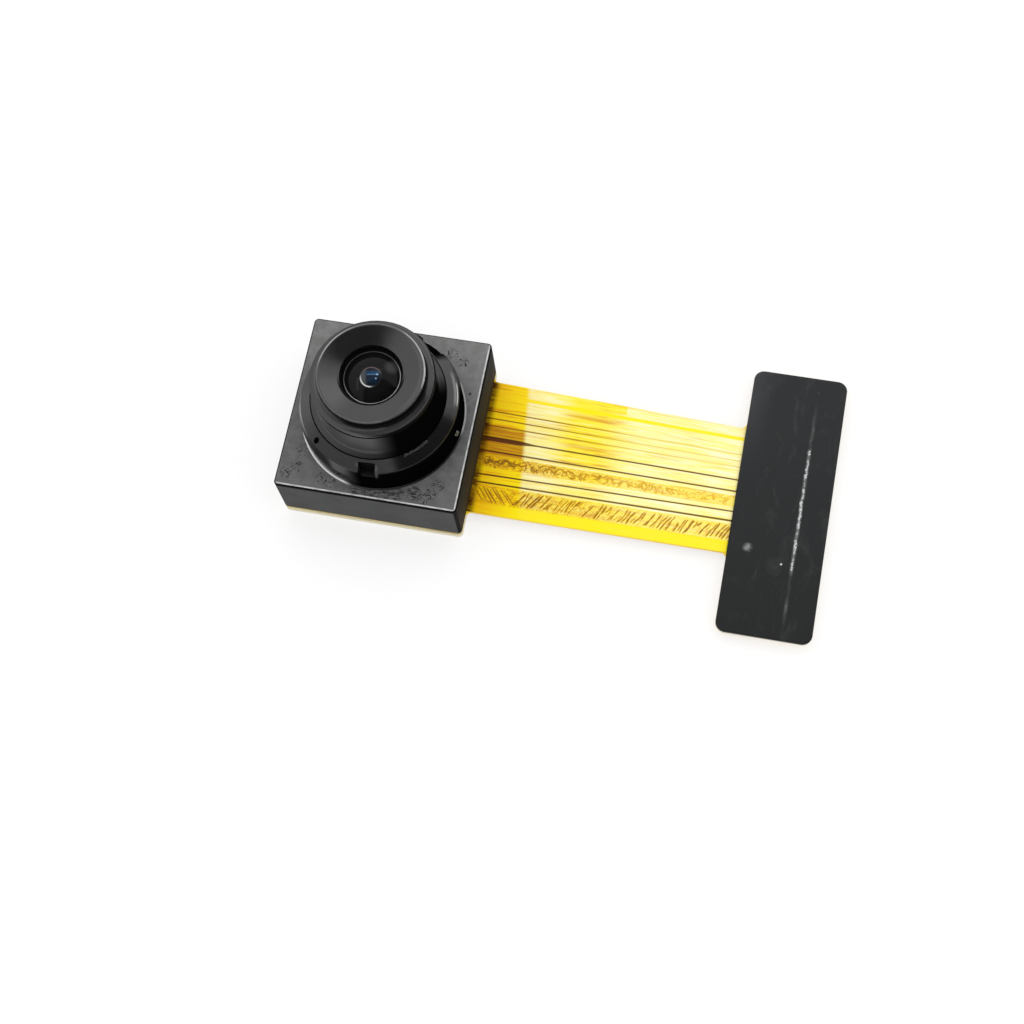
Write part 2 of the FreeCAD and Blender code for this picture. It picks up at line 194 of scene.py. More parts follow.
def ramp(tree, value, stops):
    """Grey ramp through (position, level) stops."""
    made = node(tree, "ValToRGB", {"Fac": value})
    elements = made.color_ramp.elements
    while len(elements) < len(stops):
        elements.new(0.5)
    for element, (position, level) in zip(elements, stops):
        element.position = position
        element.color = (level, level, level, 1.0)
    return made.outputs["Color"]


def place(tree):
    """Coordinates on the part in millimetres, and each one apart."""
    coords = node(tree, "TexCoord").outputs["Object"]
    scaled = node(tree, "VectorMath", {0: coords, "Scale": 1 / MM}, operation="SCALE").outputs[0]
    split = node(tree, "SeparateXYZ", {0: scaled})
    return scaled, split.outputs[0], split.outputs[1], split.outputs[2]


def noise(tree, vector, scale, detail=3.0, roughness=0.55, distortion=0.0):
    return node(tree, "TexNoise", {"Vector": vector, "Scale": scale, "Detail": detail, "Roughness": roughness,
                                   "Distortion": distortion}).outputs["Fac"]


def stretch(tree, vector, x, y, z):
    return node(tree, "VectorMath", {0: vector, 1: (x, y, z)}, operation="MULTIPLY").outputs[0]


def tool_rings(tree, radius, z, scale):
    """Noise in rings about the optical axis."""
    return noise(tree, node(tree, "CombineXYZ", {0: radius, 2: z}).outputs[0], scale)


def from_axis(tree, x, y):
    return calc(tree, "SQRT", plus(tree, times(tree, x, x), times(tree, y, y)))


def band(tree, value, low, high, soft=0.006):
    """1 between two levels, with soft ends."""
    rise = remap(tree, value, low - soft, low + soft)
    return times(tree, rise, remap(tree, value, high + soft, high - soft))


def patch(tree, u, v, left, right, low, high, soft):
    """1 in a rectangle with soft edges."""
    return times(tree, band(tree, u, left, right, soft), band(tree, v, low, high, soft))


def near(tree, x, y, centre_x, centre_y, reach):
    """1 at a spot on the part and 0 beyond its reach."""
    away = from_axis(tree, minus(tree, x, centre_x), minus(tree, y, centre_y))
    return remap(tree, away, reach, reach * 0.25)


def trail(tree, x, y, spots, reach):
    """1 near any of some spots on the part."""
    return most(tree, *[near(tree, x, y, spot_x, spot_y, reach) for spot_x, spot_y in spots])


def toward(tree, x, y, degrees, low, high):
    """1 on the side of the optical axis that faces a direction, 0 on the others."""
    angle = math.radians(degrees)
    along = plus(tree, times(tree, x, math.cos(angle)), times(tree, y, math.sin(angle)))
    return remap(tree, calc(tree, "DIVIDE", along, from_axis(tree, x, y)), low, high)


def surface(tree, shader, colour, cloud, low, high, dulling=None):
    """Colour, and a roughness between two levels that follows a noise, with more of it where a dulling share
    is given.
    """
    plug(tree, shader.inputs["Base Color"], colour)
    rough = remap(tree, cloud, 0.3, 0.7, low, high)
    if dulling is not None:
        rough = plus(tree, rough, dulling)
    plug(tree, shader.inputs["Roughness"], rough)


def gloss(tree, shader, painted_shade, full, left):
    """Specular level, full but for what is left of it where shade is painted."""
    plug(tree, shader.inputs["Specular IOR Level"], remap(tree, painted_shade, 0.0, 1.0, full, left, smooth=False))


def bump(tree, shader, height, strength, depth):
    """Bump with a depth in millimetres."""
    made = node(tree, "Bump", {"Height": height, "Strength": strength, "Distance": depth * MM})
    tree.links.new(made.outputs[0], shader.inputs["Normal"])


def dress(names, material):
    """Give the named CAD nodes one material in all their slots."""
    for name in names:
        mesh = nodes[name].data
        mesh.materials.clear()
        mesh.materials.append(material)
        for face in mesh.polygons:
            face.material_index = 0


def dress_collar(material):
    """Give the collar on the housing a material of its own."""
    mesh = nodes["lens_holder"].data
    mesh.materials.append(material)
    for face in mesh.polygons:
        middle = face.center / MM
        if middle.z > HOUSING_TOP + 0.01 and math.hypot(middle.x, middle.y) < COLLAR_RADIUS + 0.02:
            face.material_index = 1


# Black plastics

def holder_material():
    """Moulded black plastic of the housing: a satin top painted paler than the walls as a painted sheen, with
    scribbled scuffs, a painted highlight along its edges and a painted amber reflection of the flex on its
    side.
    """
    material, tree, shader = new_material("holder_plastic", specular=0.2)
    at, x, y, z = place(tree)
    cloud = noise(tree, at, 0.7, 4.0)
    grain = noise(tree, at, 14.0, 4.0, 0.7)
    on_top = remap(tree, z, HOUSING_TOP - 0.008, HOUSING_TOP - 0.003, smooth=False)
    scuffed = times(tree, trail(tree, x, y, CORNER_SCUFFS, 0.42), 0.6)
    scuffed = times(tree, most(tree, scuffed, trail(tree, x, y, EDGE_SCUFFS, 0.36)), on_top)
    curl = distance(tree, noise(tree, at, 3.0, 2.0, 0.6, 1.2), 0.5)
    dark_marks = times(tree, remap(tree, curl, 0.040, 0.016), remap(tree, scuffed, 0.08, 0.5))
    light_marks = times(tree, band(tree, curl, 0.030, 0.05, 0.012), remap(tree, scuffed, 0.2, 0.9, 0.0, 0.7))
    scratch_at = stretch(tree, at, 1.6, 5.0, 1.0)
    scratched = times(tree, remap(tree, trail(tree, x, y, SCRATCHES, 0.42), 0.0, 0.5), on_top)
    brushed = times(tree, remap(tree, noise(tree, scratch_at, 2.4, 3.0, 0.6), 0.44, 0.56), scratched)
    scratch = distance(tree, noise(tree, scratch_at, 1.5, 2.0, 0.5, 0.6), 0.5)
    scratch = times(tree, remap(tree, scratch, 0.02, 0.006), scratched)
    dot = times(tree, near(tree, x, y, 3.59, 1.52, 0.10), on_top)
    smear = remap(tree, noise(tree, stretch(tree, at, 1.0, 3.0, 1.0), 1.6, 4.0, 0.6, 1.0), 0.5, 0.75)
    mottle = remap(tree, noise(tree, at, 2.2, 4.0, 0.65), 0.38, 0.62)

    # Painted highlight along the top edges that the mould left sharp, and painted shade just below them
    patchy_highlight = remap(tree, most(tree, x, times(tree, y, -1.0)), FLAT_HALF - 0.075, FLAT_HALF - 0.045)
    patchy_highlight = times(tree, patchy_highlight, on_top, remap(tree, noise(tree, at, 2.2), 0.35, 0.6, 0.55, 1.0))
    wall = flip(tree, on_top)
    under_lip = remap(tree, z, HOUSING_TOP - 0.17, HOUSING_TOP - 0.12)
    corner = calc(tree, "MINIMUM", calc(tree, "ABSOLUTE", x), calc(tree, "ABSOLUTE", y))
    corner = remap(tree, corner, HEAD_HALF - 0.16, HEAD_HALF - 0.10)
    shadow_line = times(tree, most(tree, under_lip, corner), wall)
    # Painted amber reflection of the flex on the side that faces it, over a base painted darker there
    flex_side = remap(tree, x, HEAD_HALF - 0.05, HEAD_HALF - 0.02)
    flex_reflection = times(tree, remap(tree, z, 2.9, 0.6), flex_side)

    # The top is painted paler than the walls, a painted sheen of the light it takes, and paler still towards
    # the far side: painted light
    top = paint(tree, (0.112, 0.114, 0.115), (cloud, (0.145, 0.146, 0.146)),
                (remap(tree, y, -0.5, 3.6), 0.19), (times(tree, smear, 0.4), (0.18, 0.18, 0.178)))
    top = blend_colour(tree, mottle, top, (0.80, 0.80, 0.785), "MULTIPLY")
    top = paint(tree, top,
                (light_marks, (0.24, 0.24, 0.235)),
                (times(tree, brushed, 0.85), 0.012),
                (times(tree, scratch, 0.45), (0.26, 0.26, 0.25)),
                (most(tree, dark_marks, dot), 0.012),
                (patchy_highlight, (0.62, 0.62, 0.61)))
    side = paint(tree, (0.024, 0.025, 0.026), (cloud, (0.034, 0.035, 0.036)),
                 (flex_side, 0.009), (flex_reflection, (0.034, 0.023, 0.009)))
    base = paint(tree, top, (wall, side), (shadow_line, 0.001))
    surface(tree, shader, base, cloud, 0.48, 0.56, times(tree, most(tree, shadow_line, flex_side), 0.35))
    height = plus(tree, times(tree, grain, 0.5), light_marks)
    bump(tree, shader, minus(tree, height, times(tree, dark_marks, 1.5)), 0.35, 0.012)
    return material


def collar_material():
    """Glossy black collar, with pale rubs at the edges of the key notch, a painted highlight streak on its
    sloped top, and painted shade on its near side and in the notch at 60 degrees.
    """
    material, tree, shader = new_material("collar_plastic", ior=1.45)
    at, x, y, z = place(tree)
    cloud = noise(tree, at, 0.9, 4.0)
    radius = from_axis(tree, x, y)
    # Painted highlight: a streak on the sloped top, and a fainter one beside it
    streak = times(tree, band(tree, radius, 3.405, 3.435, 0.02), toward(tree, x, y, 13.0, 0.982, 0.995))
    faint = times(tree, band(tree, radius, 3.28, 3.38, 0.05), toward(tree, x, y, 17.0, 0.96, 0.99))
    streak = most(tree, streak, times(tree, faint, 0.22))
    # Painted shade in the notch at 60 degrees and on the near right side: darker, and with the gloss taken
    # away
    hollow = times(tree, toward(tree, x, y, 60.0, 0.945, 0.985), remap(tree, radius, 3.01, 3.05))
    near_side = times(tree, toward(tree, x, y, -38.0, 0.35, 0.6), remap(tree, radius, 3.44, 3.5))
    painted_shade = most(tree, near_side, hollow)
    rubs_and_highlight = times(tree, trail(tree, x, y, NOTCH_RUBS, 0.12),
                   remap(tree, z, COLLAR_TOP - 0.86, COLLAR_TOP - 0.56),
                   remap(tree, noise(tree, at, 5.0), 0.35, 0.6, 0.2, 0.8))
    base = paint(tree, (0.003, 0.003, 0.0033), (cloud, (0.0045, 0.0045, 0.005)),
                 (painted_shade, 0.0012), (rubs_and_highlight, 0.07), (streak, (0.62, 0.62, 0.61)))
    surface(tree, shader, base, cloud, 0.15, 0.21, times(tree, most(tree, painted_shade, streak), 0.7))
    gloss(tree, shader, painted_shade, 0.5, 0.0)
    bump(tree, shader, plus(tree, tool_rings(tree, radius, z, 8.0), noise(tree, at, 16.0)), 0.2, 0.006)
    return material


def foot_material():
    """The rounded foot of the collar: a grey line with a painted highlight to the left, and painted shade,
    black, on the near right.
    """
    material, tree, shader = new_material("collar_foot_plastic")
    at, x, y = place(tree)[:3]
    cloud = noise(tree, at, 1.5)
    base = paint(tree, 0.26,
                 (toward(tree, x, y, 205.0, 0.1, 0.6), (0.72, 0.72, 0.71)),
                 (times(tree, cloud, 0.4), 0.30),
                 (toward(tree, x, y, -55.0, 0.60, 0.72), 0.003))
    surface(tree, shader, base, cloud, 0.35, 0.5)
    bump(tree, shader, noise(tree, at, 14.0), 0.25, 0.006)
    return material


def barrel_material():
    """Smooth moulded black with faint tool rings, and painted shade towards its foot and on its near right
    side.
    """
    material, tree, shader = new_material("barrel_plastic", ior=1.45)
    at, x, y, z = place(tree)
    cloud = noise(tree, at, 0.9)
    rings = tool_rings(tree, from_axis(tree, x, y), z, 9.0)
    # Painted shade: darker on the near right side, where the gloss is taken away too, and darker towards the
    # foot
    painted_shade = toward(tree, x, y, -25.0, 0.55, 0.85)
    base = paint(tree, (0.036, 0.036, 0.0365), (cloud, (0.048, 0.048, 0.0485)),
                 (remap(tree, z, COLLAR_TOP + 0.34, COLLAR_TOP - 0.04), 0.004), (painted_shade, 0.0015))
    surface(tree, shader, base, cloud, 0.34, 0.42, times(tree, painted_shade, 0.5))
    gloss(tree, shader, painted_shade, 0.45, 0.0)
    bump(tree, shader, plus(tree, rings, times(tree, noise(tree, at, 20.0), 0.4)), 0.12, 0.004)
    return material


def seam_shade_material():
    """Dull black of a ring that stands for the shade in the gap between the barrel and the bezel: painted
    shade.
    """
    material, tree, shader = new_material("seam_shade_black", specular=0.05)
    grain = noise(tree, place(tree)[0], 20.0)
    surface(tree, shader, blend_colour(tree, grain, 0.0008, 0.002), grain, 0.85, 0.95)
    return material


def bezel_material():
    """Fine satin black in the dish, with a painted highlight on the rim, painted light on the dish's inner
    edge and on the cove, and painted shade on the near side.
    """
    material, tree, shader = new_material("bezel_plastic")
    at, x, y, z = place(tree)
    cloud = noise(tree, at, 1.1)
    radius = from_axis(tree, x, y)
    socket_edge, dish_edge, rim_inner, rim_outer, hem_start = 1.45, 2.08, 2.255, 2.33, 2.62
    outside = remap(tree, radius, rim_inner - 0.015, rim_inner + 0.045)
    # Painted highlight on the rim, brightest to the left and to the right
    rubs_and_highlight = times(tree, toward(tree, x, y, 150.0, 0.8, 0.97), 0.6)
    rubs_and_highlight = most(tree, toward(tree, x, y, 28.0, 0.72, 0.95), rubs_and_highlight)
    rim = times(tree, band(tree, radius, rim_inner, rim_outer, 0.015),
                remap(tree, z, BEZEL_RIM, BEZEL_RIM + 0.06),
                remap(tree, rubs_and_highlight, 0.0, 1.0, 0.14, 1.0),
                remap(tree, noise(tree, at, 1.6), 0.3, 0.65, 0.7, 1.0))
    # Painted light on the inner edge of the dish, towards the right
    inner_rim = band(tree, radius, dish_edge, dish_edge + 0.12, 0.05)
    inner_rim = times(tree, inner_rim, toward(tree, x, y, 5.0, 0.5, 0.9))
    # Painted shade on the near side over the slope, the hem and the socket: darker, with less gloss
    slope = times(tree, toward(tree, x, y, -40.0, 0.0, 0.5),
                  band(tree, z, BEZEL_COVE, BEZEL_RIM, 0.05), outside)
    hem = times(tree, remap(tree, radius, hem_start, hem_start + 0.04), toward(tree, x, y, -22.0, 0.3, 0.7))
    socket = times(tree, toward(tree, x, y, -80.0, -0.1, 0.4),
                   remap(tree, radius, socket_edge + 0.02, socket_edge - 0.02))
    painted_shade = most(tree, slope, hem, socket)
    # Painted light on the lower cove on the near side
    cove = times(tree, toward(tree, x, y, -62.0, 0.55, 0.95),
                 remap(tree, z, BEZEL_COVE + 0.04, BEZEL_COVE - 0.06), outside)
    base = paint(tree, (0.0035, 0.0035, 0.004), (cloud, (0.0055, 0.0055, 0.006)),
                 (cove, 0.034), (times(tree, inner_rim, 0.5), 0.05),
                 (painted_shade, 0.0015), (rim, (0.40, 0.40, 0.395)))
    surface(tree, shader, base, cloud, 0.15, 0.2)
    gloss(tree, shader, painted_shade, 0.5, 0.04)
    bump(tree, shader, plus(tree, tool_rings(tree, radius, z, 14.0), noise(tree, at, 30.0)), 0.12, 0.003)
    return material


def inner_black_material():
    """Flocked black of the spacers, which swallows stray light."""
    material, tree, shader = new_material("spacer_black")
    grain = noise(tree, place(tree)[0], 25.0)
    base = blend_colour(tree, grain, (0.006, 0.006, 0.007), (0.014, 0.014, 0.016))
    surface(tree, shader, base, grain, 0.55, 0.75)
    bump(tree, shader, grain, 0.4, 0.006)
    return material


def stiffener_material():
    """Charcoal stiffener with faint clouds, a scraped line of white flecks and a few marks."""
    material, tree, shader = new_material("stiffener_black", specular=0.25)
    at, x, y = place(tree)[:3]
    cloud = noise(tree, at, 0.45, 4.0, 0.6)
    wobble = times(tree, minus(tree, noise(tree, stretch(tree, at, 0.0, 1.0, 0.0), 1.7), 0.5), 0.16)
    apart = distance(tree, plus(tree, x, wobble), plus(tree, times(tree, y, 0.004), SCRAPE_X))
    strength = ramp(tree, remap(tree, y, TAIL_NEAR, TAIL_FAR, smooth=False), SCRAPE_STRENGTH)
    breaks = noise(tree, stretch(tree, at, 0.6, 1.0, 0.0), 3.4, 3.0, 0.6)
    width = remap(tree, plus(tree, breaks, times(tree, strength, 0.35)), 0.62, 0.95, 0.0, 0.085)
    scrape = times(tree, remap(tree, minus(tree, width, apart), 0.0, 0.035),
                   remap(tree, noise(tree, at, 11.0, 2.0), 0.35, 0.55, 0.25, 1.0))
    haze = times(tree, remap(tree, apart, 0.12, 0.0), strength, 0.25)
    dot = remap(tree, near(tree, x, y, 18.22, -3.18, 0.07), 0.2, 0.6)
    smudge = times(tree, near(tree, x, y, 16.67, -2.64, 0.27),
                   remap(tree, noise(tree, at, 5.0), 0.35, 0.65, 0.08, 0.4))
    marks = most(tree, scrape, haze, dot, smudge)
    faint = remap(tree, noise(tree, stretch(tree, at, 1.0, 0.5, 1.0), 0.9, 5.0, 0.7, 1.5), 0.5, 0.75)
    # Paler towards the far side, and a painted highlight on the far corner next to the neck
    far_side = remap(tree, y, -6.0, 5.0, smooth=False)
    far_corner = times(tree, remap(tree, x, 17.0, 15.8), remap(tree, y, 0.0, 5.5))
    paler = blend_colour(tree, cloud, (0.008, 0.009, 0.010), (0.014, 0.0155, 0.017))
    base = paint(tree, (0.003, 0.0036, 0.004), (cloud, (0.006, 0.0067, 0.0075)),
                 (times(tree, far_side, 0.8), paler),
                 (times(tree, far_corner, 0.5), (0.045, 0.047, 0.05)),
                 (times(tree, faint, 0.16), 0.09),
                 (marks, (0.55, 0.56, 0.56)))
    surface(tree, shader, base, cloud, 0.5, 0.58, times(tree, marks, 0.2))
    bump(tree, shader, plus(tree, noise(tree, at, 18.0), times(tree, marks, 2.0)), 0.3, 0.008)
    return material


# Glass

def inked_rim(tree, shader, radius):
    """Black ink on the flat rim of a lens, outside a radius."""
    at, x, y = place(tree)[:3]
    ink = remap(tree, from_axis(tree, x, y), radius - 0.005, radius + 0.005, smooth=False)
    coat = node(tree, "BsdfPrincipled", {"Base Color": 0.002, "Roughness": 0.9, "Specular IOR Level": 0.1})
    bump(tree, coat, noise(tree, at, 30.0), 0.2, 0.004)
    both = node(tree, "MixShader", {0: ink, 1: shader.outputs[0], 2: coat.outputs[0]})
    tree.links.new(both.outputs[0], tree.nodes["Material Output"].inputs["Surface"])


def clear_material(name, tint, smear, rough=0.0, specular=0.5, ior=1.52):
    """Something clear, its tree and its shader. A low specular level is an anti-reflection coat."""
    material, tree, shader = new_material(name, specular, ior)
    film = noise(tree, place(tree)[0], smear)
    plug(tree, shader.inputs["Base Color"], blend_colour(tree, film, tint, tuple(0.97 * c for c in tint)))
    plug(tree, shader.inputs["Roughness"], remap(tree, film, 0.45, 0.8, rough, rough + 0.03))
    shader.inputs["Transmission Weight"].default_value = 1.0
    return material, tree, shader


def second_glass_material():
    """Coated second lens, inked outside its window."""
    material, tree, shader = clear_material("lens_glass_second", (0.93, 0.95, 0.98), 2.5, specular=0.2)
    inked_rim(tree, shader, 1.1)
    return material


def glue_material():
    """Thread lock, clear and uneven."""
    material, tree, shader = clear_material("clear_glue", (0.42, 0.42, 0.41), 2.0, 0.34, 0.2, 1.45)
    shader.inputs["Transmission Weight"].default_value = 0.96
    bump(tree, shader, noise(tree, place(tree)[0], 2.0, 2.0), 0.3, 0.02)
    return material


def front_glass_material():
    """Coated front lens, painted opaque: black from outside as painted shade of its dark inside, with a
    painted pupil ring and the painted blue glints of its coatings.
    """
    material, tree, shader = new_material("lens_glass", ior=1.16)
    at, x, y = place(tree)[:3]
    film = noise(tree, at, 2.0)
    pupil_y, pupil_radius, window_radius = -0.09, 0.425, 1.2
    y_in = minus(tree, y, pupil_y)
    apart = from_axis(tree, x, y_in)
    inside = remap(tree, apart, pupil_radius + 0.015, pupil_radius - 0.015)
    ring = band(tree, apart, pupil_radius - 0.01, pupil_radius + 0.04, 0.02)
    lit = toward(tree, x, y_in, -118.0, 0.3, 0.9)
    warm = toward(tree, x, y_in, 85.0, 0.2, 0.8)
    shown = remap(tree, toward(tree, x, y_in, -20.0, 0.3, 0.8), 0.0, 1.0, 1.0, 0.15)

    # Places along and across the painted glints, which lie a little aslant
    u = plus(tree, times(tree, x, 0.982), times(tree, y_in, 0.189))
    v = plus(tree, times(tree, x, -0.165), times(tree, y_in, 0.986))
    hollow = remap(tree, u, -0.30, -0.12)
    streaks = patch(tree, u, v, -0.62, -0.52, -0.55, 0.0, 0.05)
    bars = patch(tree, u, v, -0.19, 0.37, 0.10, 0.27, 0.03)
    bright = patch(tree, u, v, -0.16, 0.33, 0.085, 0.12, 0.025)
    lower = patch(tree, u, v, -0.18, 0.28, -0.25, 0.0, 0.03)
    sparks = most(tree, near(tree, u, v, 0.27, 0.11, 0.07), near(tree, u, v, 0.22, -0.08, 0.055))

    # Inside the pupil: painted shade, with painted blue glints
    inner = paint(tree, (0.055, 0.06, 0.065), (hollow, (0.006, 0.009, 0.014)),
                  (bars, (0.008, 0.034, 0.085)),
                  (bright, (0.06, 0.17, 0.33)),
                  (lower, (0.005, 0.014, 0.03)),
                  (times(tree, sparks, 0.8), (0.25, 0.42, 0.60)))
    # Ring round the pupil, painted lit to the lower left and warmer above
    ring_colour = paint(tree, (0.05, 0.052, 0.055), (lit, (0.58, 0.58, 0.57)),
                        (warm, (0.10, 0.075, 0.072)))
    # A painted highlight up and to the right on the dome, and the painted pupil
    base = paint(tree, (0.0035, 0.0037, 0.004), (film, (0.006, 0.006, 0.0065)),
                 (times(tree, near(tree, x, y, 0.76, 0.56, 0.42), 0.85), (0.045, 0.045, 0.046)),
                 (times(tree, streaks, 0.5), 0.03),
                 (inside, inner),
                 (times(tree, ring, shown), ring_colour))
    plug(tree, shader.inputs["Base Color"], base)
    plug(tree, shader.inputs["Roughness"], remap(tree, film, 0.45, 0.8, 0.03, 0.06))
    inked_rim(tree, shader, window_radius)
    return material


def glass_edge_material():
    """Ground edge of the front glass, with a painted highlight brightest to the right and below."""
    material, tree, shader = new_material("glass_edge")
    at, x, y = place(tree)[:3]
    patchy_highlight = noise(tree, at, 3.0)
    lit = toward(tree, x, y, -55.0, -0.45, 0.75)
    pale = blend_colour(tree, patchy_highlight, 0.24, (0.42, 0.42, 0.41))
    surface(tree, shader, blend_colour(tree, lit, (0.035, 0.035, 0.036), pale), patchy_highlight, 0.3, 0.45)
    return material


# Flexible circuit

def amber_material():
    """Polyimide film with faint streaks, and pale where its layers are cut at the head and at the tail."""
    material, tree, shader = new_material("polyimide_core", specular=0.25)
    at, x = place(tree)[:2]
    streak = noise(tree, stretch(tree, at, 0.25, 3.0, 1.0), 1.2, 4.0)
    at_head = remap(tree, x, HEAD_HALF + 0.06, HEAD_HALF + 0.02)
    at_tail = remap(tree, x, NECK_END + 0.01, NECK_END + 0.06)
    facing = node(tree, "SeparateXYZ", {0: node(tree, "NewGeometry").outputs["Normal"]}).outputs[2]
    cut_edge = remap(tree, calc(tree, "ABSOLUTE", facing), 0.6, 0.3)
    cut_edge = times(tree, cut_edge, most(tree, at_head, at_tail))
    layers = remap(tree, noise(tree, stretch(tree, at, 0.6, 0.6, 12.0), 1.0, 2.0), 0.4, 0.6)
    pale = paint(tree, (0.62, 0.54, 0.28), (layers, (0.42, 0.33, 0.13)), (at_tail, (0.72, 0.68, 0.55)))
    base = paint(tree, (1.0, 0.72, 0.0), (streak, (0.95, 0.60, 0.0)), (cut_edge, pale))
    surface(tree, shader, base, streak, 0.22, 0.32)
    bump(tree, shader, noise(tree, at, 6.0), 0.15, 0.006)
    return material


def drawn_noise(tree, x, lane, along, across, detail):
    """Noise drawn out along the flex."""
    drawn = node(tree, "CombineXYZ", {0: times(tree, x, along), 1: times(tree, lane, across)})
    return noise(tree, drawn.outputs[0], 1.0, detail, 0.6)


def front_film_material():
    """The lens side of the flex: plain film, copper strips under it with a painted glare, dark gaps,
    scribbled bands, and painted shade at the head.
    """
    material, tree, shader = new_material("polyimide_front", specular=0.1)
    at, x = place(tree)[:2]
    lane = node(tree, "Attribute", attribute_name="lane").outputs["Fac"]
    stroke = node(tree, "Attribute", attribute_name="stroke").outputs["Fac"]
    streak = drawn_noise(tree, x, lane, 0.35, 42.0, 4.0)
    fine = drawn_noise(tree, x, lane, 0.5, 90.0, 3.0)
    broad = noise(tree, stretch(tree, at, 0.3, 1.0, 1.0), 1.3)
    upper = remap(tree, lane, 0.44, 0.50)
    plain = most(tree, remap(tree, lane, 0.090, 0.078), band(tree, lane, 0.888, 0.915))
    scribbled = most(tree, band(tree, lane, NEAR_BAND[0] - 0.008, NEAR_BAND[1] + 0.008),
                     band(tree, lane, FAR_BAND[0] - 0.002, FAR_BAND[1] + 0.002))

    # Painted glare where the copper strips reflect the light: from a little way out of the head, less in one
    # stretch of the far half
    glare_start, slant, dull_end = 6.45, 0.7, 11.4
    edge_at = minus(tree, glare_start, times(tree, lane, slant))
    out = remap(tree, minus(tree, x, edge_at), -0.12, 0.14)
    last_band = remap(tree, lane, 0.92, 0.94)
    left = minus(tree, minus(tree, dull_end, last_band), x)
    ending = remap(tree, left, 0.0, remap(tree, last_band, 0.0, 1.0, 2.2, 0.06))
    dull = times(tree, remap(tree, x, 6.9, 8.2), ending,
                 remap(tree, upper, 0.0, 1.0, 0.4, 0.9, smooth=False),
                 remap(tree, streak, 0.32, 0.52, 0.45, 1.0))
    copper_glare = times(tree, out, flip(tree, dull),
                  remap(tree, broad, 0.3, 0.7, 0.7, 1.0),
                  remap(tree, fine, 0.38, 0.6, 1.0, 0.42),
                  remap(tree, scribbled, 0.0, 1.0, 1.0, 0.45),
                  remap(tree, plain, 0.0, 1.0, 1.0, 0.06),
                  remap(tree, x, 11.0, 6.0, 1.0, 0.9))

    head_side = times(tree, remap(tree, x, 6.6, 4.6), remap(tree, streak, 0.38, 0.62, 0.4, 1.0), 0.8)
    brown = times(tree, band(tree, lane, 0.44, 0.66, 0.02), flip(tree, out),
                  remap(tree, streak, 0.35, 0.65, 0.55, 1.0))
    flecks = times(tree, remap(tree, streak, 0.52, 0.66), flip(tree, plain),
                   flip(tree, times(tree, copper_glare, 0.85)))
    smear = most(tree, band(tree, lane, 0.835, 0.862, 0.02), band(tree, lane, 0.60, 0.625, 0.02))
    smear = times(tree, smear, remap(tree, x, 7.2, 8.4), remap(tree, x, 10.6, 9.2))
    amber_wash = times(tree, scribbled, remap(tree, noise(tree, at, 4.0, 3.0, 0.6), 0.4, 0.65, 0.2, 0.9),
                       remap(tree, x, 12.0, 5.0, 0.16, 0.85))
    squiggle = distance(tree, noise(tree, stretch(tree, at, 1.0, 1.4, 1.0), 3.2, 3.0, 0.6, 1.6), 0.5)
    squiggle = times(tree, scribbled, remap(tree, squiggle, 0.040, 0.008),
                     remap(tree, x, 14.0, 5.0, 0.22, 0.85))

    # The gaps between the copper strips, the last of them wider at the head
    thin = most(tree, *[remap(tree, distance(tree, lane, centre), 0.0075, 0.002) for centre in THIN_GAPS])
    thin = times(tree, thin, remap(tree, x, 13.0, 7.0, 0.6, 0.95))
    thin_colour = blend_colour(tree, remap(tree, x, 12.0, 6.0), (0.70, 0.48, 0.01), (0.26, 0.09, 0.0))
    apart = [distance(tree, lane, centre) for centre in DARK_GAPS]
    apart[-1] = minus(tree, apart[-1], remap(tree, x, 6.7, 5.6, 0.0, 0.012))
    dark = most(tree, *[remap(tree, away, 0.0085, 0.0035) for away in apart])
    dark_colour = blend_colour(tree, out, (0.085, 0.016, 0.0), (0.13, 0.055, 0.002))
    # Painted shade along the root of the neck, where it leaves the head
    root = times(tree, remap(tree, x, NECK_START + 0.42, NECK_START + 0.08),
                 remap(tree, streak, 0.35, 0.6, 0.7, 1.0))
    inked = blend_colour(tree, remap(tree, x, 5.0, 9.0), (0.13, 0.042, 0.0), (0.24, 0.11, 0.004))

    base = paint(tree, (1.0, 0.84, 0.0), (broad, (0.99, 0.77, 0.0)),
                 (head_side, (0.98, 0.46, 0.0)),
                 (brown, (0.43, 0.13, 0.0)),
                 (times(tree, smear, 0.75), (0.68, 0.33, 0.0)),
                 (times(tree, flecks, 0.85), (0.70, 0.30, 0.0)),
                 (copper_glare, (1.0, 0.965, 0.66)),
                 (amber_wash, (0.93, 0.52, 0.0)),
                 (squiggle, (0.45, 0.20, 0.0)),
                 (thin, thin_colour),
                 (times(tree, dark, 0.95), dark_colour),
                 (root, (0.07, 0.02, 0.0)),
                 (remap(tree, stroke, 0.04, 0.35, 0.0, 0.55), (0.78, 0.36, 0.0)),
                 (remap(tree, stroke, 0.2, 0.8, 0.0, 0.9), inked))
    surface(tree, shader, base, streak, 0.24, 0.36)
    bump(tree, shader, minus(tree, streak, stroke), 0.25, 0.006)
    return material


